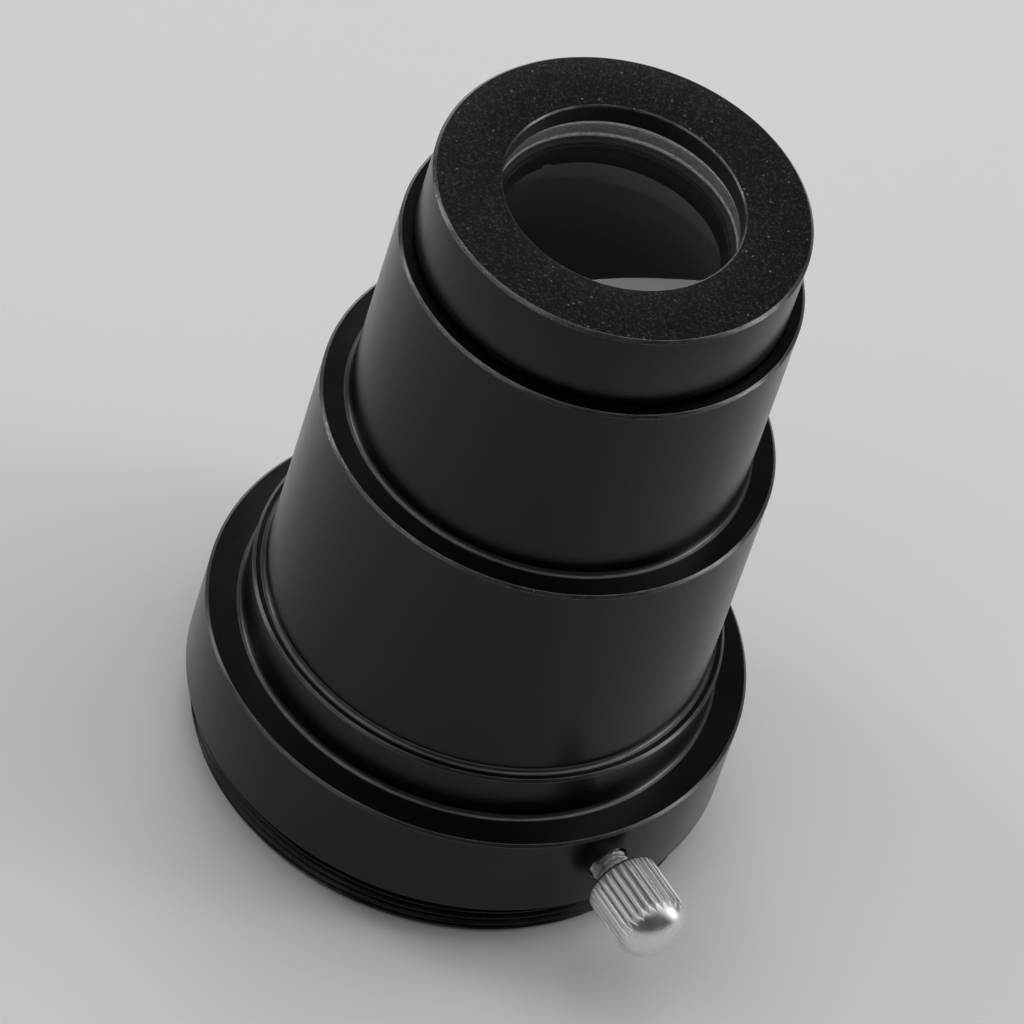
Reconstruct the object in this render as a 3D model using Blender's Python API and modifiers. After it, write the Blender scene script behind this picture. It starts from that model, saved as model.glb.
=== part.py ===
"""Barlow lens for 1.25-inch eyepieces, with a T-thread at its wide end.

Metres, +Z up. The part stands on its eyepiece end: z = 0 is that end's face and +Z points to the
lens cell. The thumbscrew lies along +X. The origin is the centre of the bounding box at the base,
so the optical axis stands at x = -AXIS_OFFSET.
"""

import math

import bmesh
import bpy
from mathutils import Vector

MM = 0.001

# Driving dimensions of the barrel, from the eyepiece end up
EYEPIECE_DIAMETER = 31.75 * MM
NOSE_DIAMETER = 31.7 * MM
T_THREAD_DIAMETER = 42.0 * MM
T_THREAD_PITCH = 0.75 * MM
FLANGE_DIAMETER = 44.0 * MM
COLLAR_DIAMETER = 38.2 * MM
BODY_DIAMETER = 36.2 * MM

FLANGE_BASE = 4.1 * MM
FLANGE_TOP = 12.15 * MM
COLLAR_TOP = 16.6 * MM
BODY_TOP = 37.5 * MM
NOSE_TOP = 55.7 * MM
TOTAL_HEIGHT = 62.8 * MM

# Small edges of the barrel
CORNER_FILLET = 0.15 * MM
TOP_CHAMFER = 0.3 * MM
UNDERCUT_DEPTH = 0.6 * MM
UNDERCUT_HEIGHT = 0.6 * MM
FACE_RELIEF = 0.15 * MM
THREAD_LEAD_IN = 0.5 * MM

# Bores of the barrel
SOCKET_CLEARANCE = 0.05 * MM
SOCKET_DEPTH = 33.0 * MM
NOSE_BORE_RADIUS = 13.0 * MM
MOUTH_CHAMFER = 0.5 * MM

# Lens cell and the thread that holds it in the nose
CELL_DIAMETER = 29.5 * MM
CELL_THREAD_DIAMETER = 28.5 * MM
CELL_THREAD_PITCH = 0.6 * MM
CELL_THREAD_TURNS = 7
CELL_CHAMFER = 0.4 * MM
LIP_RADIUS = 9.4 * MM
LIP_HEIGHT = 1.7 * MM
LIP_CHAMFER = 0.25 * MM
REAR_MOUTH_RADIUS = 11.6 * MM

# Cemented doublet and its retainer
LENS_DIAMETER = 19.5 * MM
CROWN_EDGE = 2.6 * MM
FLINT_EDGE = 0.9 * MM
FRONT_CURVE = 48.0 * MM
CEMENT_CURVE = 70.0 * MM
REAR_CURVE = 180.0 * MM
RETAINER_RADIUS = 10.5 * MM
RETAINER_BORE = 9.2 * MM
RETAINER_HEIGHT = 2.3 * MM
SPANNER_SLOT_WIDTH = 1.2 * MM
SPANNER_SLOT_DEPTH = 0.8 * MM

# Clamp ring in the socket and the thumbscrew that presses it
RING_HEIGHT = 3.9 * MM
RING_INNER = 16.05 * MM
RING_OUTER = 16.75 * MM
RING_GROOVE_RADIUS = 17.2 * MM
RING_SPLIT = 3.0 * MM
SCREW_HEIGHT = 8.15 * MM
SCREW_DIAMETER = 3.0 * MM
SCREW_PITCH = 0.5 * MM
SCREW_TIP_RADIUS = 18.0 * MM
HEAD_START_RADIUS = 23.7 * MM
HEAD_DIAMETER = 6.0 * MM
HEAD_KNURL_LENGTH = 4.6 * MM
HEAD_DOME = 2.3 * MM
HEAD_SOCKET_DEPTH = 3.2 * MM
KNURL_RIDGES = 28
KNURL_DEPTH = 0.22 * MM

# Fits between neighbouring pieces
SEAT_GAP = 0.3 * MM
FILM_GAP = 0.1 * MM
SLIP = 0.1 * MM

# Depth of a metric thread as a share of its pitch
THREAD_DEPTH_SHARE = 0.61
CREST_SHARE = 0.2

BARREL_SEGMENTS = 48
LENS_SEGMENTS = 36
SCREW_SEGMENTS = 16
LENS_RINGS = 4
DOME_RINGS = 5

HEAD_END_RADIUS = HEAD_START_RADIUS + HEAD_KNURL_LENGTH + HEAD_DOME
AXIS_OFFSET = (HEAD_END_RADIUS - FLANGE_DIAMETER / 2) / 2
SOCKET_RADIUS = EYEPIECE_DIAMETER / 2 + SOCKET_CLEARANCE


def clear_scene():
    for leftover in list(bpy.data.objects):
        bpy.data.objects.remove(leftover, do_unlink=True)


def new_collection(name):
    collection = bpy.data.collections.new(name)
    bpy.context.scene.collection.children.link(collection)
    return collection


def new_material(name, color, roughness, metallic, transmission=0.0):
    material = bpy.data.materials.new(name)
    material.use_nodes = True
    shader = material.node_tree.nodes["Principled BSDF"]
    shader.inputs["Base Color"].default_value = (*color, 1.0)
    shader.inputs["Roughness"].default_value = roughness
    shader.inputs["Metallic"].default_value = metallic
    shader.inputs["Transmission Weight"].default_value = transmission
    return material


def new_empty(name, collection, location, rotation=(0.0, 0.0, 0.0), parent=None):
    empty = bpy.data.objects.new(name, None)
    empty.location = location
    empty.rotation_euler = rotation
    empty.parent = parent
    collection.objects.link(empty)
    return empty


def add_object(name, mesh, collection, parent=None, material=None):
    thing = bpy.data.objects.new(name, mesh)
    collection.objects.link(thing)
    thing.parent = parent
    if material:
        mesh.materials.append(material)
    return thing


def turned(name, profile, segments, collection, parent=None, material=None):
    """A turned solid. The profile's (radius, height) points run down its outer side.

    A point of radius 0 lies on the axis, where the profile then starts and ends.
    """
    mesh = bpy.data.meshes.new(name)
    shape = bmesh.new()
    points = [shape.verts.new((radius, 0.0, height)) for radius, height in profile]
    for first, second in zip(points, points[1:]):
        shape.edges.new((first, second))
    if profile[0][0] > 0.0:
        shape.edges.new((points[-1], points[0]))
    shape.to_mesh(mesh)
    shape.free()
    solid = add_object(name, mesh, collection, parent, material)
    spin = solid.modifiers.new("spin", "SCREW")
    spin.axis = "Z"
    spin.steps = segments
    spin.render_steps = segments
    spin.use_merge_vertices = True
    spin.merge_threshold = 0.000001
    spin.use_smooth_shade = True
    return solid


def cutter(thing):
    thing.hide_render = True
    thing.display_type = "WIRE"


def cut(solid, tool, operation="DIFFERENCE"):
    boolean = solid.modifiers.new(operation.lower(), "BOOLEAN")
    boolean.operation = operation
    boolean.solver = "EXACT"
    boolean.object = tool
    cutter(tool)


def cylinder_mesh(name, radius, length, segments):
    """A cylinder along Z that stands on its origin."""
    mesh = bpy.data.meshes.new(name)
    shape = bmesh.new()
    bmesh.ops.create_cone(
        shape, cap_ends=True, segments=segments, radius1=radius, radius2=radius, depth=length
    )
    bmesh.ops.translate(shape, verts=shape.verts, vec=(0.0, 0.0, length / 2))
    shape.to_mesh(mesh)
    shape.free()
    return mesh


def box_mesh(name, size):
    """A box of the given (x, y, z) size about its origin."""
    mesh = bpy.data.meshes.new(name)
    shape = bmesh.new()
    bmesh.ops.create_cube(shape, size=1.0)
    bmesh.ops.scale(shape, verts=shape.verts, vec=size)
    shape.to_mesh(mesh)
    shape.free()
    return mesh


def thread_profile(crest_radius, pitch, top, bottom):
    """Crests one pitch apart, from top down to bottom, as rings that stand for the helix."""
    root_radius = crest_radius - pitch * THREAD_DEPTH_SHARE
    count = int((top - bottom) / pitch + 1e-6)
    flank = pitch * (1 - CREST_SHARE) / 2
    points = []
    for crest in range(count):
        start = top - crest * pitch
        points.append((root_radius, start))
        points.append((crest_radius, start - flank))
        points.append((crest_radius, start - flank - pitch * CREST_SHARE))
    points.append((root_radius, top - count * pitch))
    return points


def step_down(radius, floor, next_radius, chamfer=TOP_CHAMFER):
    """The foot of one step of the barrel and the chamfered rim of the wider one below it."""
    return [
        (radius, floor + CORNER_FILLET),
        (radius + CORNER_FILLET, floor),
        (next_radius - chamfer, floor),
        (next_radius, floor - chamfer),
    ]


def barrel_outside():
    nose = NOSE_DIAMETER / 2
    body = BODY_DIAMETER / 2
    collar = COLLAR_DIAMETER / 2
    flange = FLANGE_DIAMETER / 2
    thread = T_THREAD_DIAMETER / 2
    root = thread - UNDERCUT_DEPTH
    seat = thread + SLIP
    profile = [(nose - TOP_CHAMFER, NOSE_TOP), (nose, NOSE_TOP - TOP_CHAMFER)]
    profile += step_down(nose, BODY_TOP, body)
    profile += step_down(body, COLLAR_TOP, collar)
    profile += step_down(collar, FLANGE_TOP, flange)
    profile += [(flange, FLANGE_BASE + CORNER_FILLET), (flange - CORNER_FILLET, FLANGE_BASE)]
    profile += [(seat, FLANGE_BASE), (seat, FLANGE_BASE + FACE_RELIEF)]
    profile += [(root, FLANGE_BASE + FACE_RELIEF), (root, FLANGE_BASE - UNDERCUT_HEIGHT)]
    profile += thread_profile(thread, T_THREAD_PITCH, FLANGE_BASE - UNDERCUT_HEIGHT, 0.0)
    profile += [(thread - THREAD_LEAD_IN, 0.0)]
    return profile


def barrel_inside():
    groove_base = SCREW_HEIGHT - RING_HEIGHT / 2 - SEAT_GAP
    groove_top = SCREW_HEIGHT + RING_HEIGHT / 2 + SEAT_GAP
    thread_bore = CELL_THREAD_DIAMETER / 2
    thread_floor = NOSE_TOP - CELL_THREAD_TURNS * CELL_THREAD_PITCH - 4 * SEAT_GAP
    return [
        (SOCKET_RADIUS + MOUTH_CHAMFER, 0.0),
        (SOCKET_RADIUS, MOUTH_CHAMFER),
        (SOCKET_RADIUS, groove_base),
        (RING_GROOVE_RADIUS, groove_base),
        (RING_GROOVE_RADIUS, groove_top),
        (SOCKET_RADIUS, groove_top),
        (SOCKET_RADIUS, SOCKET_DEPTH),
        (NOSE_BORE_RADIUS, SOCKET_DEPTH),
        (NOSE_BORE_RADIUS, thread_floor),
        (thread_bore, thread_floor),
        (thread_bore, NOSE_TOP - TOP_CHAMFER),
        (thread_bore + TOP_CHAMFER, NOSE_TOP),
    ]


def make_barrel(parts, cutters, axis, screw_axis, black):
    profile = barrel_outside() + barrel_inside()
    barrel = turned("barrel", profile, BARREL_SEGMENTS, parts, axis, black)
    wall = FLANGE_DIAMETER / 2 - SOCKET_RADIUS
    mesh = cylinder_mesh("screw_hole", SCREW_DIAMETER / 2 + SLIP, 2 * wall, SCREW_SEGMENTS)
    hole = add_object("screw_hole", mesh, cutters, screw_axis)
    hole.location = (0.0, 0.0, SOCKET_RADIUS - wall / 2)
    cut(barrel, hole)
    return barrel


def make_compression_ring(parts, cutters, axis, brass):
    top = SCREW_HEIGHT + RING_HEIGHT / 2
    bottom = SCREW_HEIGHT - RING_HEIGHT / 2
    profile = [(RING_OUTER, top), (RING_OUTER, bottom), (RING_INNER, bottom), (RING_INNER, top)]
    ring = turned("compression_ring", profile, LENS_SEGMENTS, parts, axis, brass)
    split = add_object("ring_split", box_mesh("ring_split", (4 * MM, RING_SPLIT, 6 * MM)), cutters, axis)
    split.location = (-RING_INNER, 0.0, SCREW_HEIGHT)
    cut(ring, split)


def lens_front():
    """Height of the crown's rim, just under the cell's lip."""
    return TOTAL_HEIGHT - LIP_HEIGHT - FILM_GAP


def retainer_top():
    return lens_front() - CROWN_EDGE - FLINT_EDGE - 2 * FILM_GAP


def make_lens_cell(parts, axis, black):
    outer = CELL_DIAMETER / 2
    shoulder = NOSE_TOP + SEAT_GAP
    thread = CELL_THREAD_DIAMETER / 2 - SLIP
    thread_end = NOSE_TOP - CELL_THREAD_TURNS * CELL_THREAD_PITCH
    pocket = LENS_DIAMETER / 2 + SLIP
    retainer_bore = RETAINER_RADIUS + SLIP
    profile = [(outer - CELL_CHAMFER, TOTAL_HEIGHT), (outer, TOTAL_HEIGHT - CELL_CHAMFER)]
    profile += [(outer, shoulder + CORNER_FILLET), (outer - CORNER_FILLET, shoulder)]
    root = thread - CELL_THREAD_PITCH * THREAD_DEPTH_SHARE
    profile += [(root, shoulder)]
    profile += thread_profile(thread, CELL_THREAD_PITCH, NOSE_TOP, thread_end)
    profile += [
        (root - CORNER_FILLET, thread_end - SEAT_GAP),
        (REAR_MOUTH_RADIUS, thread_end - SEAT_GAP),
        (retainer_bore, retainer_top() - RETAINER_HEIGHT - SEAT_GAP),
        (retainer_bore, retainer_top() + FILM_GAP / 2),
        (pocket, retainer_top() + FILM_GAP / 2),
        (pocket, TOTAL_HEIGHT - LIP_HEIGHT),
        (LIP_RADIUS, TOTAL_HEIGHT - LIP_HEIGHT),
        (LIP_RADIUS, TOTAL_HEIGHT - LIP_CHAMFER),
        (LIP_RADIUS + LIP_CHAMFER, TOTAL_HEIGHT),
    ]
    turned("lens_cell", profile, BARREL_SEGMENTS, parts, axis, black)


def dish(curve, radius, height, depth_sign):
    """Points of a spherical face from the axis out to radius, its rim at the given height."""
    sag = curve - math.sqrt(curve * curve - radius * radius)
    points = []
    for ring in range(LENS_RINGS + 1):
        reach = radius * ring / LENS_RINGS
        rise = curve - math.sqrt(curve * curve - reach * reach)
        points.append((reach, height - depth_sign * (sag - rise)))
    return points


def make_lenses(parts, axis, glass):
    """The crown is hollow on both faces, and the flint's front face fills the crown's rear one."""
    rim = LENS_DIAMETER / 2
    crown_top = lens_front()
    crown_base = crown_top - CROWN_EDGE
    front = dish(FRONT_CURVE, rim, crown_top, 1)
    cement = dish(CEMENT_CURVE, rim, crown_base, -1)
    turned("crown_lens", front + cement[::-1], LENS_SEGMENTS, parts, axis, glass)
    flint_top = crown_base - FILM_GAP
    flint_front = dish(CEMENT_CURVE, rim, flint_top, -1)
    flint_rear = dish(REAR_CURVE, rim, flint_top - FLINT_EDGE, -1)
    turned("flint_lens", flint_front + flint_rear[::-1], LENS_SEGMENTS, parts, axis, glass)


def make_lens_retainer(parts, cutters, axis, black):
    top = retainer_top()
    bottom = top - RETAINER_HEIGHT
    profile = [
        (RETAINER_RADIUS, top),
        (RETAINER_RADIUS, bottom),
        (RETAINER_BORE + MOUTH_CHAMFER, bottom),
        (RETAINER_BORE, bottom + MOUTH_CHAMFER),
        (RETAINER_BORE, top),
    ]
    retainer = turned("lens_retainer", profile, LENS_SEGMENTS, parts, axis, black)
    size = (3 * RETAINER_RADIUS, SPANNER_SLOT_WIDTH, 2 * SPANNER_SLOT_DEPTH)
    slots = add_object("spanner_slots", box_mesh("spanner_slots", size), cutters, axis)
    slots.location = (0.0, 0.0, bottom)
    cut(retainer, slots)


def make_thumbscrew_stud(parts, screw_axis, steel):
    """The threaded stud: from its tip in the flange's wall to the blind end of the head."""
    end = HEAD_START_RADIUS + HEAD_SOCKET_DEPTH - SEAT_GAP
    tip = SCREW_TIP_RADIUS
    radius = SCREW_DIAMETER / 2
    core = radius - SCREW_PITCH * THREAD_DEPTH_SHARE
    thread_top = HEAD_START_RADIUS
    thread_bottom = tip + SCREW_PITCH
    profile = [(0.0, end), (radius, end), (radius, HEAD_START_RADIUS + SEAT_GAP)]
    profile += thread_profile(radius, SCREW_PITCH, thread_top, thread_bottom)
    profile += [(core, tip), (0.0, tip)]
    turned("thumbscrew_stud", profile, SCREW_SEGMENTS, parts, screw_axis, steel)


def knurl_outline():
    """One turn of straight knurling: each ridge has a narrow top and a narrow groove floor."""
    outline = []
    for ridge in range(KNURL_RIDGES):
        for share, radius in ((0.0, 0.0), (0.3, 0.0), (0.5, KNURL_DEPTH), (0.8, KNURL_DEPTH)):
            angle = 2 * math.pi * (ridge + share) / KNURL_RIDGES
            reach = HEAD_DIAMETER / 2 - radius
            outline.append(Vector((reach * math.cos(angle), reach * math.sin(angle), 0.0)))
    return outline


def knurled_rod(name, start, length, collection, parent, material):
    mesh = bpy.data.meshes.new(name)
    shape = bmesh.new()
    floor = shape.faces.new([shape.verts.new(point) for point in knurl_outline()])
    raised = bmesh.ops.extrude_face_region(shape, geom=[floor])
    top = [item for item in raised["geom"] if isinstance(item, bmesh.types.BMVert)]
    bmesh.ops.translate(shape, verts=top, vec=(0.0, 0.0, length))
    bmesh.ops.recalc_face_normals(shape, faces=shape.faces)
    shape.to_mesh(mesh)
    shape.free()
    rod = add_object(name, mesh, collection, parent, material)
    rod.location = (0.0, 0.0, start)
    return rod


def make_thumbscrew_head(parts, cutters, screw_axis, steel):
    """A knurled rod cut to a blank with a domed end, so that the ridges run out into the dome."""
    start = HEAD_START_RADIUS
    dome_start = start + HEAD_KNURL_LENGTH
    rim = HEAD_DIAMETER / 2
    head = knurled_rod("thumbscrew_head", start - MM, 9 * MM, parts, screw_axis, steel)
    dome = [
        (rim * math.sin(math.pi / 2 * step / DOME_RINGS), HEAD_DOME * math.cos(math.pi / 2 * step / DOME_RINGS))
        for step in range(DOME_RINGS + 1)
    ]
    dome[-1] = (rim, 0.0)
    blank_profile = [(reach, dome_start + rise) for reach, rise in dome]
    blank_profile += [(rim, start + TOP_CHAMFER), (rim - TOP_CHAMFER, start), (0.0, start)]
    blank = turned("head_blank", blank_profile, 2 * KNURL_RIDGES, cutters, screw_axis)
    cut(head, blank, "INTERSECT")
    bore = cylinder_mesh("stud_bore", SCREW_DIAMETER / 2 + SLIP, HEAD_SOCKET_DEPTH + MM, SCREW_SEGMENTS)
    hole = add_object("stud_bore", bore, cutters, screw_axis)
    hole.location = (0.0, 0.0, start - MM)
    cut(head, hole)


def main():
    clear_scene()
    parts = new_collection("barlow_lens")
    cutters = new_collection("cutters")
    black = new_material("black_anodised", (0.02, 0.02, 0.021), 0.38, 0.6)
    inner_black = new_material("matt_black", (0.012, 0.012, 0.012), 0.7, 0.2)
    brass = new_material("brass", (0.72, 0.52, 0.2), 0.3, 1.0)
    nickel = new_material("nickel_plate", (0.78, 0.77, 0.74), 0.16, 1.0)
    glass = new_material("coated_glass", (0.9, 0.95, 0.93), 0.02, 0.0, 1.0)
    axis = new_empty("optical_axis", parts, (-AXIS_OFFSET, 0.0, 0.0))
    screw_axis = new_empty(
        "thumbscrew_axis", parts, (0.0, 0.0, SCREW_HEIGHT), (0.0, math.pi / 2, 0.0), axis
    )
    make_barrel(parts, cutters, axis, screw_axis, black)
    make_compression_ring(parts, cutters, axis, brass)
    make_lens_cell(parts, axis, black)
    make_lenses(parts, axis, glass)
    make_lens_retainer(parts, cutters, axis, inner_black)
    make_thumbscrew_stud(parts, screw_axis, nickel)
    make_thumbscrew_head(parts, cutters, screw_axis, nickel)


main()
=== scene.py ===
import math

import bmesh
import bpy
import numpy as np
from mathutils import Matrix, Vector


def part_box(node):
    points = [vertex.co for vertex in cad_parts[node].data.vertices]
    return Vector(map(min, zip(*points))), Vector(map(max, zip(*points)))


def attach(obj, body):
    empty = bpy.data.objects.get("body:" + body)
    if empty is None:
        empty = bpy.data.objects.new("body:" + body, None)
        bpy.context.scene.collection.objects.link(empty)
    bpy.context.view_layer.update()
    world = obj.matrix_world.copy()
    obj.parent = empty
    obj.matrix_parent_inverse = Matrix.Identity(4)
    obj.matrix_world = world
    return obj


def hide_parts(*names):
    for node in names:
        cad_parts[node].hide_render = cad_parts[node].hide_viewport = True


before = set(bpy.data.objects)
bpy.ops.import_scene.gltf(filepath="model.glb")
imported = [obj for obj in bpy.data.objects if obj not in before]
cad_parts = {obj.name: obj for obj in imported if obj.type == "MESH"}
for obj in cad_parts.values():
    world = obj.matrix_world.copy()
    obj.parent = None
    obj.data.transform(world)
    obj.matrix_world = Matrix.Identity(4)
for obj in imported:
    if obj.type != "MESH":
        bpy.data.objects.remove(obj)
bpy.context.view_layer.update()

# A stepped black barlow lens, a nickel thumbscrew in its flange, on a pale studio floor.
# Metres. z = 0 is the eyepiece end's face, +Z points to the lens cell and the thumbscrew lies along +X.
MM = 0.001

# Places that the frame gives
BARREL_LOW, BARREL_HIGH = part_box("barrel")
CELL_LOW, CELL_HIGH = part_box("lens_cell")
CROWN_LOW, CROWN_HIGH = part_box("crown_lens")
FLINT_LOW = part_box("flint_lens")[0]
RETAINER_LOW, RETAINER_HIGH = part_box("lens_retainer")
RING_LOW, RING_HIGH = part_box("compression_ring")
STUD_LOW, STUD_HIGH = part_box("thumbscrew_stud")
HEAD_LOW, HEAD_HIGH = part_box("thumbscrew_head")

FLANGE_RADIUS = (BARREL_HIGH.y - BARREL_LOW.y) / 2
AXIS_X = BARREL_LOW.x + FLANGE_RADIUS
SCREW_Z = (HEAD_LOW.z + HEAD_HIGH.z) / 2
NOSE_TOP = BARREL_HIGH.z
TOP = CELL_HIGH.z

# Steps of the barrel, from the eyepiece end up
T_THREAD_RADIUS = 21.0 * MM
T_THREAD_PITCH = 0.75 * MM
COLLAR_RADIUS = 19.1 * MM
BODY_RADIUS = 18.1 * MM
NOSE_RADIUS = 15.85 * MM
FLANGE_BASE = 4.1 * MM
FLANGE_TOP = 12.15 * MM
COLLAR_TOP = 16.6 * MM
BODY_TOP = 37.5 * MM
SOCKET_RADIUS = 15.925 * MM
SOCKET_DEPTH = 33.0 * MM
NOSE_BORE_RADIUS = 13.0 * MM
GROOVE_RADIUS = 17.2 * MM
UNDERCUT = 0.6 * MM
LEAD_IN = 0.5 * MM
COUNTERSINK_DEPTH = 0.25 * MM
SEAT_GAP = 0.3 * MM

# Chamfered rims and the fillets where one step meets the next
RIM = 0.22 * MM
RIM_EDGE = 0.08 * MM
FOOT = 0.4 * MM

# Clamp ring in the socket
RING_INNER = 16.05 * MM
RING_SPLIT = 3.0 * MM

# Lens cell
CELL_RADIUS = (CELL_HIGH.y - CELL_LOW.y) / 2
CELL_THREAD_RADIUS = 14.15 * MM
CELL_THREAD_PITCH = 0.6 * MM
CELL_RIM = 0.24 * MM
CELL_FOOT_CHAMFER = 0.15 * MM
LIP_RADIUS = 9.4 * MM
LIP_HEIGHT = 1.7 * MM
LIP_RIM = 0.13 * MM
RETAINER_CLEARANCE = 0.05 * MM
REAR_MOUTH_RADIUS = 11.6 * MM

# Cemented doublet and its retainer
LENS_RADIUS = (CROWN_HIGH.y - CROWN_LOW.y) / 2
FRONT_CURVE = 48.0 * MM
REAR_CURVE = 90.0 * MM
LENS_BEVEL = 0.25 * MM
RETAINER_RADIUS = (RETAINER_HIGH.y - RETAINER_LOW.y) / 2
RETAINER_BORE = 9.2 * MM
RETAINER_CHAMFER = 0.5 * MM
SPANNER_SLOT_WIDTH = 1.2 * MM
SPANNER_SLOT_DEPTH = 0.8 * MM

# Thumbscrew. Its knurl deepens with a power, the roundness, of the distance from a ridge's crest.
STUD_RADIUS = (STUD_HIGH.y - STUD_LOW.y) / 2
STUD_PITCH = 0.5 * MM
HEAD_RADIUS = (HEAD_HIGH.z - HEAD_LOW.z) / 2
HEAD_KNURL_LENGTH = 4.6 * MM
HEAD_SOCKET_DEPTH = 3.2 * MM
HEAD_CHAMFER = 0.35 * MM
KNURL_RIDGES = 28
KNURL_DEPTH = 0.24 * MM
KNURL_ROUNDNESS = 2.0

# Gaps between pieces that slide or turn in each other, and the rounding of plain edges
SLIP = 0.1 * MM
EDGE = 0.06 * MM
TINY_EDGE = 0.03 * MM

# Threads: the depth is a share of the pitch, and the cell's and the stud's taper at their ends. A flank's
# height, in depths, falls from the peak by the slope for each pitch away from the crest's middle.
THREAD_DEPTH_SHARE = 0.61
THREAD_TAPER = 0.4 * MM
FLANK_PEAK = 1.25
FLANK_SLOPE = 2.7

# How finely the meshes are divided: rows along each thread, and points around and along the other shapes
T_THREAD_ROWS = 64
CELL_THREAD_ROWS = 90
STUD_ROWS = 170
LEAD_IN_ROWS = 8
HEAD_SIDE_ROWS = 6
HEAD_CHAMFER_ROWS = 5
SEGMENTS = 180
STUD_SEGMENTS = 120
HOLE_SEGMENTS = 64
SEGMENTS_PER_RIDGE = 14
ARC_STEPS = 28
CORNER_STEPS = 4

# Cutters reach past what they cut, points this close to each other are one, a radius within the tolerance
# of a bore's is on its wall, and edges that bend more than the sharp angle stay sharp
CUT_PAST = 1.0 * MM
SAME_POINT = 0.0001 * MM
TOLERANCE = 0.01 * MM
SHARP_ANGLE = math.radians(32)

# Turns local +Z to +X, along the thumbscrew
ALONG_X = Matrix.Rotation(math.pi / 2, 4, "Y")

# Material slots of the turned black pieces: the last is the barrel's lower rims or the cell's front face
BLACK, RUBBED, BORE = 0, 1, 2
SOFT = FACE = 3

# Material slots of the doublet
FRONT, GROUND, REAR = 0, 1, 2

# Camera: degrees, metres, and millimetres for the lens and the sensor
VIEW_AZIMUTH = 44.8
VIEW_ELEVATION = 46.4
VIEW_ROLL = 18.7
VIEW_DISTANCE = 0.7008
VIEW_LENS = 315.2
VIEW_SENSOR = 36.0
VIEW_REACH = 20.0
AIM = Vector((AXIS_X - 0.3 * MM, -0.3 * MM, 26.3 * MM))

# Floor: half its side, and how far it lies under the object so that the two don't meet
FLOOR_REACH = 6.0
FLOOR_GAP = 0.05 * MM

# Soft boxes: name, degrees to the left of straight behind, elevation, distance, size, radiance, and for
# the disc its roll and shape
SOFT_BOXES = (
    ("back_disc", 17, 13, 0.75, (0.5, 0.66), 2.1, 27, "ELLIPSE"),
    ("back_strip", 10, 7, 0.75, (1.3, 0.3), 1.0),
    ("top_box", 0, 81, 0.45, (0.3, 0.24), 0.75),
    ("top_left_box", 60, 66, 0.5, (0.35, 0.35), 0.8),
    ("top_right_box", -60, 66, 0.5, (0.35, 0.35), 0.7),
    ("right_strip", -80, 20, 0.6, (0.14, 0.4), 3.2),
    ("left_strip", 80, 20, 0.6, (0.14, 0.4), 2.6),
    ("right_box", -72, 40, 0.62, (0.62, 0.55), 0.5),
    ("left_front_box", 124, 46, 0.65, (0.58, 0.5), 0.62),
    ("front_box", 180, 68, 0.55, (0.45, 0.28), 0.3),
)


# ---------------------------------------------------------------- mesh helpers


def rounded(corners):
    """A closed (radius, height, slot) profile from (radius, height, corner radius) points.

    A point may end with two material slots: that of its arc and that of the stretch after it.
    """
    count = len(corners)
    profile = []
    for index, (radius, height, bend, *slots) in enumerate(corners):
        here = Vector((radius, height))
        arc_slot, after = slots or (BLACK, BLACK)
        if bend == 0:
            profile.append((radius, height, after))
            continue
        to_last = (Vector(corners[index - 1][:2]) - here).normalized()
        to_next = (Vector(corners[(index + 1) % count][:2]) - here).normalized()
        opening = to_last.angle(to_next)
        reach = bend / math.tan(opening / 2)
        middle = (to_last + to_next).normalized()
        centre = here + middle * (bend / math.sin(opening / 2))
        first = here + to_last * reach - centre
        last = here + to_next * reach - centre
        sweep = first.angle_signed(last)
        for step in range(CORNER_STEPS + 1):
            point = centre + Matrix.Rotation(-sweep * step / CORNER_STEPS, 2) @ first
            profile.append((point.x, point.y, arc_slot if step < CORNER_STEPS else after))
    return profile


def lathe(name, profile, shape=None, closed=True, segments=SEGMENTS):
    """A turned mesh about Z, whose profile runs down its outer side.

    The profile's points are (radius, height), or (radius, height, slot) with the material slot of the
    faces between the point and the next one. A profile that isn't closed starts and ends on the axis.
    shape(radius, height, angle) may change the radius of each point, which makes threads and knurls.
    """
    count = len(profile)
    radii = np.array([point[0] for point in profile])
    heights = np.array([point[1] for point in profile])
    angles = np.arange(segments) * 2 * math.pi / segments
    radius_grid = np.repeat(radii[:, None], segments, axis=1)
    height_grid = np.repeat(heights[:, None], segments, axis=1)
    angle_grid = np.repeat(angles[None, :], count, axis=0)
    if shape:
        radius_grid = shape(radius_grid, height_grid, angle_grid)
    x = radius_grid * np.cos(angle_grid)
    y = radius_grid * np.sin(angle_grid)
    points = np.stack([x, y, height_grid], axis=-1).reshape(-1, 3).tolist()
    faces = []
    slots = []
    for row in range(count if closed else count - 1):
        above = row * segments
        below = ((row + 1) % count) * segments
        for column in range(segments):
            beside = (column + 1) % segments
            faces.append((above + column, below + column, below + beside, above + beside))
        slots += [profile[row][2] if len(profile[row]) > 2 else BLACK] * segments
    mesh = bpy.data.meshes.new(name)
    mesh.from_pydata(points, [], faces)
    mesh.polygons.foreach_set("material_index", slots)
    close_poles(mesh)
    return mesh


def close_poles(mesh):
    """Joins the points that meet on the axis and drops the faces that this flattens."""
    shape = bmesh.new()
    shape.from_mesh(mesh)
    on_axis = [point for point in shape.verts if math.hypot(point.co.x, point.co.y) < SAME_POINT]
    bmesh.ops.remove_doubles(shape, verts=on_axis, dist=SAME_POINT)
    bmesh.ops.dissolve_degenerate(shape, edges=shape.edges, dist=SAME_POINT / 10)
    bmesh.ops.recalc_face_normals(shape, faces=shape.faces)
    shape.to_mesh(mesh)
    shape.free()


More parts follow.
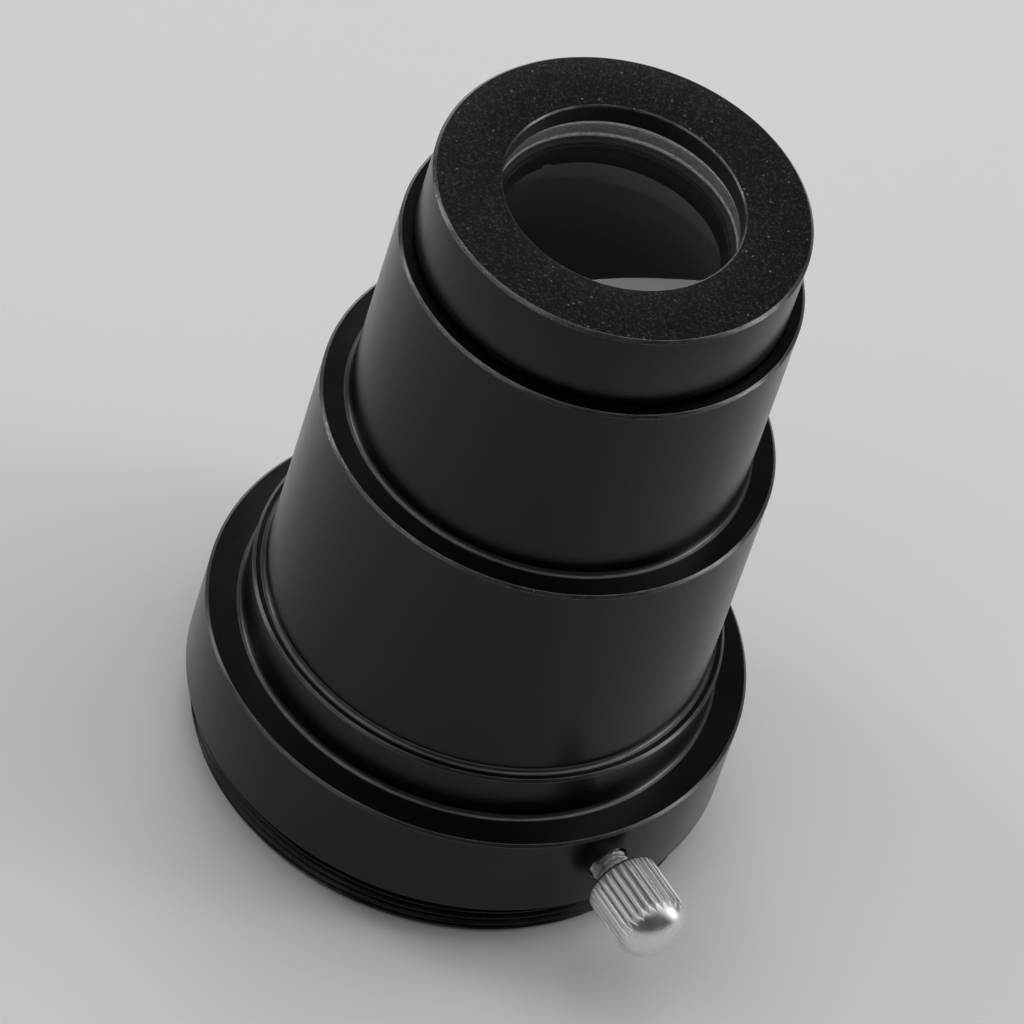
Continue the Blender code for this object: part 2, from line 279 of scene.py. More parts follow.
def box(name, size):
    """A box of the given size, centred on the origin."""
    mesh = bpy.data.meshes.new(name)
    shape = bmesh.new()
    bmesh.ops.create_cube(shape, size=1.0)
    bmesh.ops.scale(shape, verts=shape.verts, vec=size)
    shape.to_mesh(mesh)
    shape.free()
    return mesh


def carved(mesh, tool, where):
    """A copy of a mesh, with the tool cut out of it at the given matrix."""
    body = bpy.data.objects.new(mesh.name, mesh)
    cutter = bpy.data.objects.new(tool.name, tool)
    cutter.matrix_world = where
    for item in (body, cutter):
        bpy.context.scene.collection.objects.link(item)
    boolean = body.modifiers.new("cut", "BOOLEAN")
    boolean.operation = "DIFFERENCE"
    boolean.solver = "EXACT"
    boolean.object = cutter
    bpy.context.view_layer.update()
    result = bpy.data.meshes.new_from_object(body.evaluated_get(bpy.context.evaluated_depsgraph_get()))
    for item in (body, cutter):
        bpy.data.objects.remove(item)
    return result


def place(mesh, body, node_names, matrix=None):
    """Puts a mesh in the frame as a piece that rides on a CAD body and stands for CAD nodes."""
    piece = bpy.data.objects.new(mesh.name, mesh)
    bpy.context.scene.collection.objects.link(piece)
    mesh.shade_smooth()
    mesh.set_sharp_from_angle(angle=SHARP_ANGLE)
    piece.matrix_world = matrix or Matrix.Translation((AXIS_X, 0.0, 0.0))
    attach(piece, body)
    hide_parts(*node_names)


def add_materials(mesh, *materials):
    for material in materials:
        mesh.materials.append(material)


def rows(top, bottom, count):
    """Evenly spaced heights from top down to bottom, both ends included."""
    return [top + (bottom - top) * step / count for step in range(count + 1)]


def ridge(height, angle, pitch):
    """How far each point is up the flank of a right-handed thread, from 0 at the root to 1 at the crest."""
    phase = (height / pitch - angle / (2 * math.pi)) % 1.0
    return np.clip(FLANK_PEAK - FLANK_SLOPE * np.abs(phase - 0.5), 0.0, 1.0)


def male_thread(crest, pitch, top, bottom):
    """A lathe shape that cuts a thread into the stretch between two heights."""
    depth = pitch * THREAD_DEPTH_SHARE

    def shape(radius, height, angle):
        outside = radius > crest - 0.5 * depth
        inside = (height > bottom) & (height < top) & outside
        grooved = np.minimum(radius, crest - depth * (1 - ridge(height, angle, pitch)))
        return np.where(inside, grooved, radius)

    return shape


# ---------------------------------------------------------------- material helpers


def new_material(name):
    """A new material, with its nodes, its links and its shader."""
    material = bpy.data.materials.new(name)
    material.use_nodes = True
    nodes = material.node_tree.nodes
    return material, nodes, material.node_tree.links, nodes["Principled BSDF"]


def grey(tone):
    return (tone, tone, tone, 1)


def coordinates(nodes):
    """The object coordinates, in metres."""
    return nodes.new("ShaderNodeTexCoord").outputs["Object"]


def split_coordinates(nodes, links):
    """The object coordinates as separate X, Y and Z outputs."""
    apart = nodes.new("ShaderNodeSeparateXYZ")
    links.new(coordinates(nodes), apart.inputs["Vector"])
    return apart.outputs


def noise(nodes, links, scale, detail=3.0, roughness=0.55, vector=None):
    """Noise on object coordinates or a given vector, whose scale counts cells per metre."""
    texture = nodes.new("ShaderNodeTexNoise")
    texture.inputs["Scale"].default_value = scale
    texture.inputs["Detail"].default_value = detail
    texture.inputs["Roughness"].default_value = roughness
    links.new(vector or coordinates(nodes), texture.inputs["Vector"])
    return texture.outputs["Fac"]


def remap(nodes, links, source, low, high, low_value=0.0, high_value=1.0):
    """Maps a value from low..high to low_value..high_value and clamps it there."""
    node = nodes.new("ShaderNodeMapRange")
    node.inputs["From Min"].default_value = low
    node.inputs["From Max"].default_value = high
    node.inputs["To Min"].default_value = low_value
    node.inputs["To Max"].default_value = high_value
    links.new(source, node.inputs["Value"])
    return node.outputs["Result"]


def math_node(nodes, links, operation, first, second):
    """The result of an operation on two inputs, each a number or another node's output."""
    node = nodes.new("ShaderNodeMath")
    node.operation = operation
    for index, value in enumerate((first, second)):
        if isinstance(value, (int, float)):
            node.inputs[index].default_value = value
        else:
            links.new(value, node.inputs[index])
    return node.outputs["Value"]


def set_stops(ramp, stops):
    """Fills a colour ramp with (position, tone) stops."""
    while len(ramp.elements) < len(stops):
        ramp.elements.new(0.5)
    for element, (position, tone) in zip(ramp.elements, stops):
        element.position = position
        element.color = grey(tone)


def mix_color(nodes, links, factor, first, second):
    """A mix of two colours, each a tuple or a node's output: the first at factor 0, the second at 1."""
    node = nodes.new("ShaderNodeMix")
    node.data_type = "RGBA"
    links.new(factor, node.inputs["Factor"])
    for name, value in (("A", first), ("B", second)):
        socket = next(item for item in node.inputs if item.name == name and item.type == "RGBA")
        if isinstance(value, tuple):
            socket.default_value = value
        else:
            links.new(value, socket)
    return next(item for item in node.outputs if item.type == "RGBA")


def bump(nodes, links, source, distance, shader):
    """Gives a shader's surface a relief of the given height."""
    node = nodes.new("ShaderNodeBump")
    node.inputs["Distance"].default_value = distance
    links.new(source, node.inputs["Height"])
    links.new(node.outputs["Normal"], shader.inputs["Normal"])


def specks(nodes, links, spacing, size, share):
    """A mask of small round dust specks, about one in each cell of the spacing for the given share."""
    texture = nodes.new("ShaderNodeTexVoronoi")
    texture.inputs["Scale"].default_value = 1 / spacing
    links.new(coordinates(nodes), texture.inputs["Vector"])
    near = remap(nodes, links, texture.outputs["Distance"], 0.6 * size / spacing, size / spacing, 1.0, 0.0)
    chance = nodes.new("ShaderNodeSeparateColor")
    links.new(texture.outputs["Color"], chance.inputs["Color"])
    chosen = remap(nodes, links, chance.outputs["Red"], 1 - share, 1 - share + 0.001)
    return math_node(nodes, links, "MULTIPLY", near, chosen)


# ---------------------------------------------------------------- materials

DUST = (0.30, 0.30, 0.29, 1)
NICKEL = (0.77, 0.76, 0.75, 1)
# Knurl colours: crests painted lighter as a painted highlight, grooves painted darker as painted shade
CREST_HIGHLIGHT = (0.95, 0.94, 0.93, 1)
GROOVE_SHADE = (0.42, 0.42, 0.42, 1)
# A darker copy of the nickel: painted shade for the stud's neck beside the black barrel
SHADED_NICKEL = (0.55, 0.54, 0.53, 1)
BARE_METAL = (0.5, 0.5, 0.5, 1)
BRASS = (0.62, 0.42, 0.16, 1)
CLEAR = (0.975, 0.985, 0.98, 1)
FLOOR_COLOR = (0.92, 0.92, 0.93, 1)
AMBIENT = 0.05

ANODISED_TONE = 0.002
ANODISED_IOR = 1.35
GLASS_IOR = 1.52

# Grains of the blasting, as cells per metre, and how high they stand
FINE_GRAIN = 6000.0
FINE_GRAIN_DEPTH = 0.016 * MM
FACE_GRAIN = 4200.0
FACE_GRAIN_DEPTH = 0.014 * MM

# Painted light and shade of the bore: its tone at each depth below the retainer, deepest first. Just below
# the retainer it is painted bright, painted light, and it is painted darker further down, painted shade.
BORE_LIGHT_AND_SHADE = ((14 * MM, 0.12), (9 * MM, 0.25), (4 * MM, 0.55), (0.2 * MM, 1.0), (0.0, 0.02))

# Painted light of the doublet's ground edge: its tone from its front, 0, to its rear, 1, in painted bright
# and dull bands, and the strength of its glow, which is painted light too
GROUND_LIGHT_BANDS = ((0.0, 1.0), (0.18, 0.95), (0.26, 0.3), (0.6, 0.22), (0.68, 0.85), (0.76, 0.6), (0.82, 0.05))
GROUND_PAINTED_GLOW = 0.09


def anodised(name, tone, roughness, grain_depth=FINE_GRAIN_DEPTH, dust_share=0.02):
    """Blasted and black anodised aluminium: nearly black, with a satin sheen and a fine grain."""
    material, nodes, links, shader = new_material(name)
    shader.inputs["IOR"].default_value = ANODISED_IOR
    patches = remap(nodes, links, noise(nodes, links, scale=120.0), 0.35, 0.65)
    base = mix_color(nodes, links, patches, grey(tone * 0.8), grey(tone * 1.2))
    dust = specks(nodes, links, spacing=1.6 * MM, size=0.035 * MM, share=dust_share)
    links.new(mix_color(nodes, links, dust, base, DUST), shader.inputs["Base Color"])
    smudges = noise(nodes, links, scale=210.0)
    sheen = remap(nodes, links, smudges, 0.3, 0.7, roughness - 0.02, roughness + 0.03)
    links.new(sheen, shader.inputs["Roughness"])
    if grain_depth:
        bump(nodes, links, noise(nodes, links, FINE_GRAIN, detail=2.0), grain_depth, shader)
    return material


def blasted_face():
    """The cell's front face, blasted more coarsely, with a relief grain and painted glints: light specks
    and a light mottle in its colour stand in for single facets of the grain that catch the light.
    """
    material, nodes, links, shader = new_material("blasted_face")
    shader.inputs["IOR"].default_value = ANODISED_IOR
    shader.inputs["Roughness"].default_value = 0.3
    # Painted glints: a light mottle and light specks in the colour
    glint_mottle = remap(nodes, links, noise(nodes, links, FACE_GRAIN, roughness=0.7), 0.52, 0.72)
    base = mix_color(nodes, links, glint_mottle, grey(0.001), grey(0.06))
    small_glints = specks(nodes, links, spacing=0.34 * MM, size=0.08 * MM, share=0.45)
    large_glints = specks(nodes, links, spacing=0.62 * MM, size=0.11 * MM, share=0.22)
    base = mix_color(nodes, links, small_glints, base, grey(0.06))
    base = mix_color(nodes, links, large_glints, base, grey(0.16))
    links.new(base, shader.inputs["Base Color"])
    bump(nodes, links, noise(nodes, links, FACE_GRAIN, detail=2.0), FACE_GRAIN_DEPTH, shader)
    return material


def bore_wall():
    """The turned walls inside: dark beside the doublet, painted bright just below the retainer as painted
    light, and painted darker further down the bore as painted shade.
    """
    material, nodes, links, shader = new_material("bore_wall")
    low = RETAINER_LOW.z - BORE_LIGHT_AND_SHADE[0][0]
    span = TOP - low
    height = split_coordinates(nodes, links)["Z"]
    # Painted light near the retainer and painted shade deeper in the bore
    tones = nodes.new("ShaderNodeValToRGB")
    links.new(remap(nodes, links, height, low, TOP), tones.inputs["Fac"])
    stops = [((RETAINER_LOW.z - depth - low) / span, tone) for depth, tone in BORE_LIGHT_AND_SHADE]
    set_stops(tones.color_ramp, stops)
    links.new(tones.outputs["Color"], shader.inputs["Base Color"])
    shader.inputs["Roughness"].default_value = 0.5
    return material


def height_and_radius(nodes, links):
    """The object's own height and its distance from Z."""
    apart = split_coordinates(nodes, links)
    across = math_node(nodes, links, "MULTIPLY", apart["X"], apart["X"])
    along = math_node(nodes, links, "MULTIPLY", apart["Y"], apart["Y"])
    radius = math_node(nodes, links, "SQRT", math_node(nodes, links, "ADD", across, along), 0.0)
    return apart["Z"], radius


def around(nodes, links, stretch):
    """Object coordinates unrolled about Z: the arc's length over the stretch, the radius and the height."""
    apart = split_coordinates(nodes, links)
    angle = math_node(nodes, links, "ARCTAN2", apart["Y"], apart["X"])
    arc = math_node(nodes, links, "MULTIPLY", angle, BODY_RADIUS / stretch)
    height, radius = height_and_radius(nodes, links)
    joined = nodes.new("ShaderNodeCombineXYZ")
    for name, value in (("X", arc), ("Y", radius), ("Z", height)):
        links.new(value, joined.inputs[name])
    return joined.outputs["Vector"]


def rubbed_rim(name, dark, light, bare_above):
    """Chamfer that handling has rubbed thin: dark metal in streaks along the turning, with bare chips.

    The chips are where a noise rises above a level, so a higher level leaves fewer.
    """
    material, nodes, links, shader = new_material(name)
    turning = around(nodes, links, stretch=8.0)
    streaks = noise(nodes, links, scale=5200.0, roughness=0.6, vector=turning)
    thin = remap(nodes, links, streaks, 0.35, 0.65)
    grain = noise(nodes, links, scale=6500.0, roughness=0.7)
    chips = remap(nodes, links, grain, bare_above, bare_above + 0.08)
    stretches = remap(nodes, links, noise(nodes, links, scale=230.0, detail=2.0), 0.45, 0.6)
    bare = math_node(nodes, links, "MULTIPLY", chips, stretches)
    color = mix_color(nodes, links, thin, grey(dark), grey(light))
    links.new(mix_color(nodes, links, bare, color, BARE_METAL), shader.inputs["Base Color"])
    shader.inputs["Metallic"].default_value = 0.9
    shader.inputs["Roughness"].default_value = 0.3
    return material


def nickel(name, tone, roughness):
    """Nickel plate with a faint haze."""
    material, nodes, links, shader = new_material(name)
    shader.inputs["Base Color"].default_value = tone
    shader.inputs["Metallic"].default_value = 1.0
    haze = noise(nodes, links, scale=900.0)
    sheen = remap(nodes, links, haze, 0.3, 0.7, roughness * 0.85, roughness * 1.2)
    links.new(sheen, shader.inputs["Roughness"])
    return material


def knurled_nickel(knurl_end):
    """Nickel plate whose knurled stretch, below a local height, has ridges painted lighter, a painted
    highlight, and grooves painted darker, painted shade.
    """
    material = nickel("nickel_plate", NICKEL, roughness=0.3)
    nodes, links = material.node_tree.nodes, material.node_tree.links
    height, distance = height_and_radius(nodes, links)
    crest = remap(nodes, links, distance, HEAD_RADIUS - 0.8 * KNURL_DEPTH, HEAD_RADIUS - 0.15 * KNURL_DEPTH)
    # Crests take the painted highlight and grooves the painted shade
    knurled = mix_color(nodes, links, crest, GROOVE_SHADE, CREST_HIGHLIGHT)
    domed = remap(nodes, links, height, knurl_end - 0.1 * MM, knurl_end + 0.2 * MM)
    plate = mix_color(nodes, links, domed, knurled, NICKEL)
    links.new(plate, nodes["Principled BSDF"].inputs["Base Color"])
    return material


def turned_brass():
    """Plain brass with a faint haze."""
    material, nodes, links, shader = new_material("turned_brass")
    shader.inputs["Base Color"].default_value = BRASS
    shader.inputs["Metallic"].default_value = 1.0
    haze = noise(nodes, links, scale=700.0)
    links.new(remap(nodes, links, haze, 0.3, 0.7, 0.22, 0.36), shader.inputs["Roughness"])
    return material


def coated_glass(name, reflection):
    """Clear glass whose coating leaves a share of the reflection."""
    material, _, _, shader = new_material(name)
    shader.inputs["Specular Tint"].default_value = grey(reflection)
    shader.inputs["Base Color"].default_value = CLEAR
    shader.inputs["Roughness"].default_value = 0.0
    shader.inputs["IOR"].default_value = GLASS_IOR
    shader.inputs["Transmission Weight"].default_value = 1.0
    return material


def ground_edge():
    """The doublet's ground rim in painted bands of light and shade: a bright band, a duller one, and the
    line of cement between the lenses.

    It glows a little: painted light that stands in for light piped through the glass to the ground surface.
    """
    material, nodes, links, shader = new_material("ground_glass_edge")
    height = split_coordinates(nodes, links)["Z"]
    depth = remap(nodes, links, height, CROWN_HIGH.z, FLINT_LOW.z)
    bands = nodes.new("ShaderNodeValToRGB")
    set_stops(bands.color_ramp, GROUND_LIGHT_BANDS)
    links.new(depth, bands.inputs["Fac"])
    turning = around(nodes, links, stretch=4.0)
    scratches = noise(nodes, links, scale=5500.0, detail=4.0, roughness=0.7, vector=turning)
    grain = remap(nodes, links, scratches, 0.36, 0.64, 0.55, 1.35)
    mixed = nodes.new("ShaderNodeVectorMath")
    mixed.operation = "SCALE"
    links.new(bands.outputs["Color"], mixed.inputs[0])
    links.new(grain, mixed.inputs["Scale"])
    links.new(mixed.outputs["Vector"], shader.inputs["Base Color"])
    # Painted glow: the banded colour also shines as emission
    links.new(mixed.outputs["Vector"], shader.inputs["Emission Color"])
    shader.inputs["Emission Strength"].default_value = GROUND_PAINTED_GLOW
    shader.inputs["Roughness"].default_value = 0.6
    return material


# ---------------------------------------------------------------- barrel


def rim_corners(radius, height, rim, slot=RUBBED):
    """The two corners of a chamfered rim that handling has rubbed."""
    return [(radius - rim, height, RIM_EDGE, slot, slot), (radius, height - rim, RIM_EDGE, slot, BLACK)]


def barrel_profile():
    """The closed profile of the one-piece barrel, down its outside and back up its bores."""
    root = T_THREAD_RADIUS - UNDERCUT
    seat = T_THREAD_RADIUS + SLIP
    thread_top = FLANGE_BASE - UNDERCUT
    corners = rim_corners(NOSE_RADIUS, NOSE_TOP, RIM)
    corners += [(NOSE_RADIUS, BODY_TOP, FOOT, SOFT, BLACK)]
    corners += rim_corners(BODY_RADIUS, BODY_TOP, RIM)
    corners += [(BODY_RADIUS, COLLAR_TOP, FOOT, SOFT, BLACK)]
    corners += rim_corners(COLLAR_RADIUS, COLLAR_TOP, RIM, SOFT)
    corners += [(COLLAR_RADIUS, FLANGE_TOP, FOOT, SOFT, BLACK)]
    corners += rim_corners(FLANGE_RADIUS, FLANGE_TOP, RIM, SOFT)
    corners += [
        (FLANGE_RADIUS, FLANGE_BASE + RIM / 2, EDGE, SOFT, BLACK),
        (FLANGE_RADIUS - RIM / 2, FLANGE_BASE, EDGE),
        (seat, FLANGE_BASE, TINY_EDGE),
        (seat, FLANGE_BASE + RIM / 2, TINY_EDGE),
        (root, FLANGE_BASE + RIM / 2, EDGE),
        (root, thread_top, 0),
    ]
    outer_rows = rows(thread_top, LEAD_IN, T_THREAD_ROWS)[1:]
    corners += [(T_THREAD_RADIUS, height, 0) for height in outer_rows]
    lead_in_rows = rows(LEAD_IN, 0.0, LEAD_IN_ROWS)[1:]
    corners += [(T_THREAD_RADIUS - LEAD_IN + height, height, 0) for height in lead_in_rows]
    groove_low = RING_LOW.z - SEAT_GAP
    groove_high = RING_HIGH.z + SEAT_GAP
    corners += [
        (SOCKET_RADIUS + LEAD_IN, 0.0, EDGE),
        (SOCKET_RADIUS, LEAD_IN, EDGE, BORE, BORE),
        (SOCKET_RADIUS, groove_low, EDGE, BORE, BORE),
        (GROOVE_RADIUS, groove_low, EDGE, BORE, BORE),
        (GROOVE_RADIUS, groove_high, EDGE, BORE, BORE),
        (SOCKET_RADIUS, groove_high, EDGE, BORE, BORE),
        (SOCKET_RADIUS, SOCKET_DEPTH, EDGE, BORE, BORE),
        (NOSE_BORE_RADIUS, SOCKET_DEPTH, EDGE, BORE, BORE),
    ]
    thread_bore = CELL_THREAD_RADIUS + SLIP
    thread_floor = CELL_LOW.z - 3 * SEAT_GAP
    corners += [(NOSE_BORE_RADIUS, thread_floor, 0, BORE, BORE)]
    inner_rows = rows(thread_floor, NOSE_TOP - RIM, CELL_THREAD_ROWS)
    corners += [(thread_bore, height, 0, BORE, BORE) for height in inner_rows]
    corners += [(thread_bore + RIM, NOSE_TOP, EDGE)]
    return rounded(corners)


def barrel_shape():
    """A lathe shape with the T-thread outside and, inside the nose, the female thread for the lens cell."""
    outside_thread = male_thread(T_THREAD_RADIUS, T_THREAD_PITCH, FLANGE_BASE - UNDERCUT, -T_THREAD_PITCH)
    thread_bore = CELL_THREAD_RADIUS + SLIP
    depth = CELL_THREAD_PITCH * THREAD_DEPTH_SHARE
    low = CELL_LOW.z - 2 * SEAT_GAP
    high = NOSE_TOP - 1.5 * RIM

    def shape(radius, height, angle):
        turned = outside_thread(radius, height, angle)
        on_bore = np.abs(radius - thread_bore) < TOLERANCE
        female = on_bore & (height > low) & (height < high)
        return np.where(female, radius + depth * (1 - ridge(height, angle, CELL_THREAD_PITCH)), turned)

    return shape


def make_barrel(materials):
    """The one-piece barrel, with the thumbscrew's countersunk hole through its flange."""
    mesh = lathe("barrel_shell", barrel_profile(), barrel_shape())
    add_materials(mesh, *materials)
    bore = STUD_RADIUS + SLIP
    outside = FLANGE_RADIUS + CUT_PAST
    inside = SOCKET_RADIUS - CUT_PAST
    profile = [
        (0.0, outside),
        (bore + COUNTERSINK_DEPTH + CUT_PAST, outside),
        (bore, FLANGE_RADIUS - COUNTERSINK_DEPTH),
        (bore, inside),
        (0.0, inside),
    ]
    hole = lathe("screw_hole", profile, closed=False, segments=HOLE_SEGMENTS)
    where = Matrix.Translation((0.0, 0.0, SCREW_Z)) @ ALONG_X
    place(carved(mesh, hole, where), "barrel", ["barrel"])


def make_clamp_ring(brass):
    """The ring in the socket's groove, split on the side away from the thumbscrew."""
    outer = (RING_HIGH.y - RING_LOW.y) / 2
    corners = [
        (outer, RING_HIGH.z, EDGE),
        (outer, RING_LOW.z, EDGE),
        (RING_INNER, RING_LOW.z, EDGE),
        (RING_INNER, RING_HIGH.z, EDGE),
    ]
    mesh = lathe("clamp_ring", rounded(corners))
    add_materials(mesh, brass)
    wall = outer - RING_INNER
    tall = RING_HIGH.z - RING_LOW.z
    split = box("ring_split", (4 * wall, RING_SPLIT, 2 * tall))
    mesh = carved(mesh, split, Matrix.Translation((-RING_INNER, 0.0, SCREW_Z)))
    place(mesh, "barrel", ["compression_ring"])


# ---------------------------------------------------------------- lens cell


def make_lens_cell(materials):
    """The doublet's housing, which screws into the nose."""
    shoulder = NOSE_TOP + SEAT_GAP
    root = CELL_THREAD_RADIUS - CELL_THREAD_PITCH * THREAD_DEPTH_SHARE
    end = CELL_LOW.z
    pocket = LENS_RADIUS + SLIP
    retainer_bore = RETAINER_RADIUS + SLIP
    corners = rim_corners(CELL_RADIUS, TOP, CELL_RIM)
    corners += [
        (CELL_RADIUS, shoulder + CELL_FOOT_CHAMFER, EDGE),
        (CELL_RADIUS - CELL_FOOT_CHAMFER, shoulder, EDGE),
        (root, shoulder, 0),
    ]
    thread_rows = rows(NOSE_TOP, end + THREAD_TAPER, CELL_THREAD_ROWS)
    corners += [(CELL_THREAD_RADIUS, height, 0) for height in thread_rows]
    corners += [
        (root - CELL_FOOT_CHAMFER, end, 0),
        (REAR_MOUTH_RADIUS, end, 0, BORE, BORE),
        (retainer_bore, RETAINER_LOW.z - SEAT_GAP, 0, BORE, BORE),
        (retainer_bore, RETAINER_HIGH.z + RETAINER_CLEARANCE, 0, BORE, BORE),
        (pocket, RETAINER_HIGH.z + RETAINER_CLEARANCE, 0, BORE, BORE),
        (pocket, TOP - LIP_HEIGHT, 0, BORE, BORE),
        (LIP_RADIUS, TOP - LIP_HEIGHT, TINY_EDGE, BORE, BORE),
        (LIP_RADIUS, TOP - LIP_RIM, RIM_EDGE / 2, RUBBED, RUBBED),
        (LIP_RADIUS + LIP_RIM, TOP, RIM_EDGE / 2, RUBBED, FACE),
    ]
    thread_end = end + THREAD_TAPER - SLIP
    thread = male_thread(CELL_THREAD_RADIUS, CELL_THREAD_PITCH, NOSE_TOP + SLIP, thread_end)
    mesh = lathe("cell_housing", rounded(corners), thread)
    add_materials(mesh, *materials)
    place(mesh, "lens_cell", ["lens_cell"])


def spherical_face(curve, rim, height, slot):
    """Points from the middle of a lens face, its lowest place, out to its rim, whose height is given."""
    sag = curve - math.sqrt(curve * curve - rim * rim)
    face = []
    for step in range(ARC_STEPS + 1):
        reach = rim * step / ARC_STEPS
        rise = curve - math.sqrt(curve * curve - reach * reach)
        face.append((reach, height - sag + rise, slot))
    return face


def make_doublet(materials):
    """Both cemented lenses as one piece, with a bevelled and ground rim."""
    rim = LENS_RADIUS - LENS_BEVEL
    front = spherical_face(FRONT_CURVE, rim, CROWN_HIGH.z, FRONT)
    rear = spherical_face(REAR_CURVE, rim, FLINT_LOW.z, REAR)
    front[-1] = (rim, CROWN_HIGH.z, GROUND)
    sides = [(LENS_RADIUS, CROWN_HIGH.z - LENS_BEVEL, GROUND)]
    sides += [(LENS_RADIUS, FLINT_LOW.z + LENS_BEVEL, GROUND)]
    mesh = lathe("doublet", front + sides + rear[::-1], closed=False)
    add_materials(mesh, *materials)
    place(mesh, "doublet", ["crown_lens", "flint_lens"])


def make_retainer(black):
    """The ring that holds the doublet from behind, with two slots for a spanner."""
    low, high = RETAINER_LOW.z, RETAINER_HIGH.z
    corners = [
        (RETAINER_RADIUS, high, EDGE),
        (RETAINER_RADIUS, low, EDGE),
        (RETAINER_BORE + RETAINER_CHAMFER, low, EDGE),
        (RETAINER_BORE, low + RETAINER_CHAMFER, EDGE),
        (RETAINER_BORE, high, EDGE),
    ]
    mesh = lathe("lens_retaining_ring", rounded(corners))
    add_materials(mesh, black)
    slots = box("spanner_slots", (3 * RETAINER_RADIUS, SPANNER_SLOT_WIDTH, 2 * SPANNER_SLOT_DEPTH))
    mesh = carved(mesh, slots, Matrix.Translation((0.0, 0.0, low)))
    place(mesh, "lens_cell", ["lens_retainer"])


# ---------------------------------------------------------------- thumbscrew


def screw_matrix():
    """Local +Z along the thumbscrew, outwards, from the optical axis."""
    return Matrix.Translation((AXIS_X, 0.0, SCREW_Z)) @ ALONG_X


def make_stud(plating):
    """The thumbscrew's threaded stud, turned about local +Z."""
    start = STUD_LOW.x - AXIS_X
    end = STUD_HIGH.x - AXIS_X
    thread_top = HEAD_LOW.x - AXIS_X + 2 * SLIP
    core = STUD_RADIUS - STUD_PITCH * THREAD_DEPTH_SHARE
    profile = [(0.0, end), (STUD_RADIUS - SLIP, end), (STUD_RADIUS, end - SLIP)]
    profile += [(STUD_RADIUS, height) for height in rows(thread_top, start + THREAD_TAPER, STUD_ROWS)]
    profile += [(core, start + SLIP / 2), (core - SLIP, start), (0.0, start)]
    thread_end = start + THREAD_TAPER - SLIP
    thread = male_thread(STUD_RADIUS, STUD_PITCH, thread_top - TOLERANCE, thread_end)
    mesh = lathe("screw_stud", profile, thread, closed=False, segments=STUD_SEGMENTS)
    add_materials(mesh, plating)
    place(mesh, "thumbscrew_stud", ["thumbscrew_stud"], screw_matrix())


def make_head():
    """The thumbscrew's head: a knurled side, a domed end and a socket for the stud."""
    start = HEAD_LOW.x - AXIS_X
    end = HEAD_HIGH.x - AXIS_X
    dome_start = start + HEAD_KNURL_LENGTH
    profile = []
    for step in range(ARC_STEPS + 1):
        angle = math.pi / 2 * step / ARC_STEPS
        profile.append((HEAD_RADIUS * math.sin(angle), dome_start + (end - dome_start) * math.cos(angle)))
    side_rows = rows(dome_start, start + HEAD_CHAMFER, HEAD_SIDE_ROWS)[1:]
    profile += [(HEAD_RADIUS, height) for height in side_rows]
    for height in rows(start + HEAD_CHAMFER, start, HEAD_CHAMFER_ROWS)[1:]:
        profile.append((HEAD_RADIUS - HEAD_CHAMFER + height - start, height))
    bore = STUD_RADIUS + SLIP
    profile += [(bore, start), (bore, start + HEAD_SOCKET_DEPTH), (0.0, start + HEAD_SOCKET_DEPTH)]

    def shape(radius, height, angle):
        phase = (angle * KNURL_RIDGES / (2 * math.pi)) % 1.0
        groove = np.abs(2 * phase - 1) ** KNURL_ROUNDNESS
        return np.minimum(radius, HEAD_RADIUS - KNURL_DEPTH * groove)

    mesh = lathe("knurled_head", profile, shape, closed=False, segments=KNURL_RIDGES * SEGMENTS_PER_RIDGE)
    add_materials(mesh, knurled_nickel(dome_start))
    place(mesh, "thumbscrew_head", ["thumbscrew_head"], screw_matrix())


# ---------------------------------------------------------------- stage


def toward(azimuth, elevation):
    """Unit vector from the object towards an azimuth (0 is -Y, 90 is +X) and an elevation, in degrees."""
    turn, rise = math.radians(azimuth), math.radians(elevation)
    return Vector((math.sin(turn) * math.cos(rise), -math.cos(turn) * math.cos(rise), math.sin(rise)))


def looking_at_aim(outwards, distance, roll):
    """Matrix of a camera or light that looks back at the aim point along a direction."""
    facing = (-outwards).to_track_quat("-Z", "Y").to_matrix().to_4x4()
    turn = Matrix.Rotation(math.radians(roll), 4, "Z")
    return Matrix.Translation(AIM + outwards * distance) @ facing @ turn


def make_camera():
    """The camera at the photograph's viewing angle."""
    camera = bpy.data.objects.new("camera", bpy.data.cameras.new("camera"))
    bpy.context.scene.collection.objects.link(camera)
    camera.matrix_world = looking_at_aim(toward(VIEW_AZIMUTH, VIEW_ELEVATION), VIEW_DISTANCE, VIEW_ROLL)
    camera.data.lens = VIEW_LENS
    camera.data.sensor_width = VIEW_SENSOR
    camera.data.clip_end = VIEW_REACH
    bpy.context.scene.camera = camera


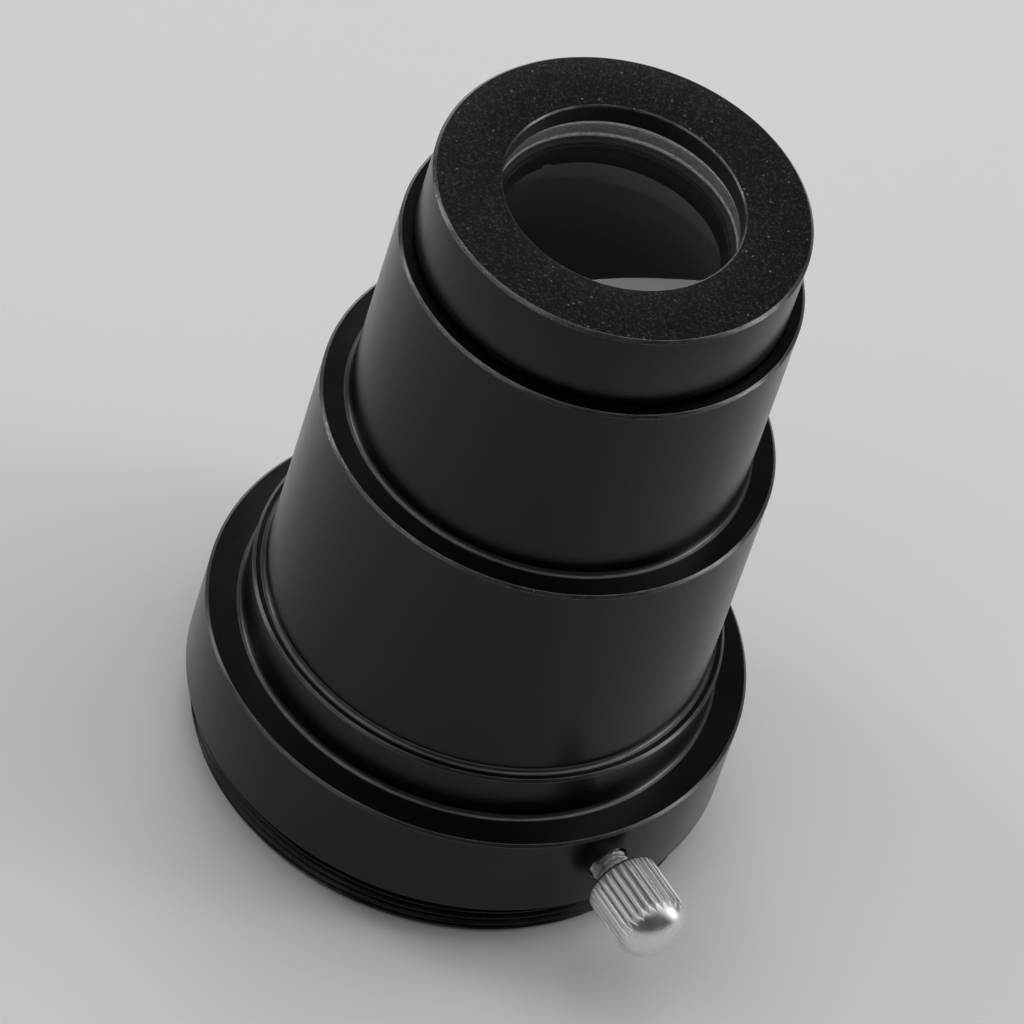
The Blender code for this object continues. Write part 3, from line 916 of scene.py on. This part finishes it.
def soft_box(name, left, elevation, distance, size, radiance, roll=0.0, shape="RECTANGLE"):
    """A soft box facing the object.

    left is its azimuth from the line that leads straight away from the camera, positive to the
    camera's left. The power follows from the radiance of its face.
    """
    light = bpy.data.lights.new(name, "AREA")
    light.shape = shape
    light.size, light.size_y = size
    area = size[0] * size[1] * (math.pi / 4 if shape == "ELLIPSE" else 1.0)
    light.energy = radiance * area * math.pi
    panel = bpy.data.objects.new(name, light)
    bpy.context.scene.collection.objects.link(panel)
    outwards = toward(VIEW_AZIMUTH + 180 + left, elevation)
    panel.matrix_world = looking_at_aim(outwards, distance, roll)
    panel.visible_camera = False


def make_floor():
    """A plain pale floor just under the object."""
    mesh = bpy.data.meshes.new("floor")
    corners = [(x * FLOOR_REACH, y * FLOOR_REACH, 0) for x, y in ((-1, -1), (1, -1), (1, 1), (-1, 1))]
    mesh.from_pydata(corners, [], [(0, 1, 2, 3)])
    floor = bpy.data.objects.new("floor", mesh)
    bpy.context.scene.collection.objects.link(floor)
    floor.location.z = -FLOOR_GAP
    material, _, _, shader = new_material("pale_floor")
    shader.inputs["Base Color"].default_value = FLOOR_COLOR
    shader.inputs["Roughness"].default_value = 0.9
    shader.inputs["Specular IOR Level"].default_value = 0.1
    add_materials(mesh, material)


def make_lights():
    """The soft boxes and a dim, even surround."""
    for light in SOFT_BOXES:
        soft_box(*light)
    world = bpy.data.worlds.new("studio")
    world.use_nodes = True
    world.node_tree.nodes["Background"].inputs["Color"].default_value = grey(AMBIENT)
    world.node_tree.nodes["Background"].inputs["Strength"].default_value = 1.0
    bpy.context.scene.world = world


def main():
    barrel_black = anodised("black_anodised", ANODISED_TONE, roughness=0.23)
    cell_black = anodised("black_anodised_cell", ANODISED_TONE, roughness=0.25)
    matt_black = anodised("matt_black", tone=0.025, roughness=0.5, grain_depth=0.0, dust_share=0.0)
    rubbed = rubbed_rim("rubbed_rim", dark=0.07, light=0.16, bare_above=0.6)
    soft = rubbed_rim("soft_rim", dark=0.07, light=0.11, bare_above=0.68)
    bore = bore_wall()
    make_barrel([barrel_black, rubbed, bore, soft])
    make_clamp_ring(turned_brass())
    make_lens_cell([cell_black, rubbed, bore, blasted_face()])
    front_glass = coated_glass("coated_glass", reflection=1.0)
    rear_glass = coated_glass("coated_rear_glass", reflection=0.04)
    make_doublet([front_glass, ground_edge(), rear_glass])
    make_retainer(matt_black)
    # The stud wears the darker copy of the nickel, painted shade
    make_stud(nickel("nickel_stud", SHADED_NICKEL, roughness=0.36))
    make_head()
    make_camera()
    make_floor()
    make_lights()
    bpy.context.scene.view_settings.view_transform = "Standard"


main()
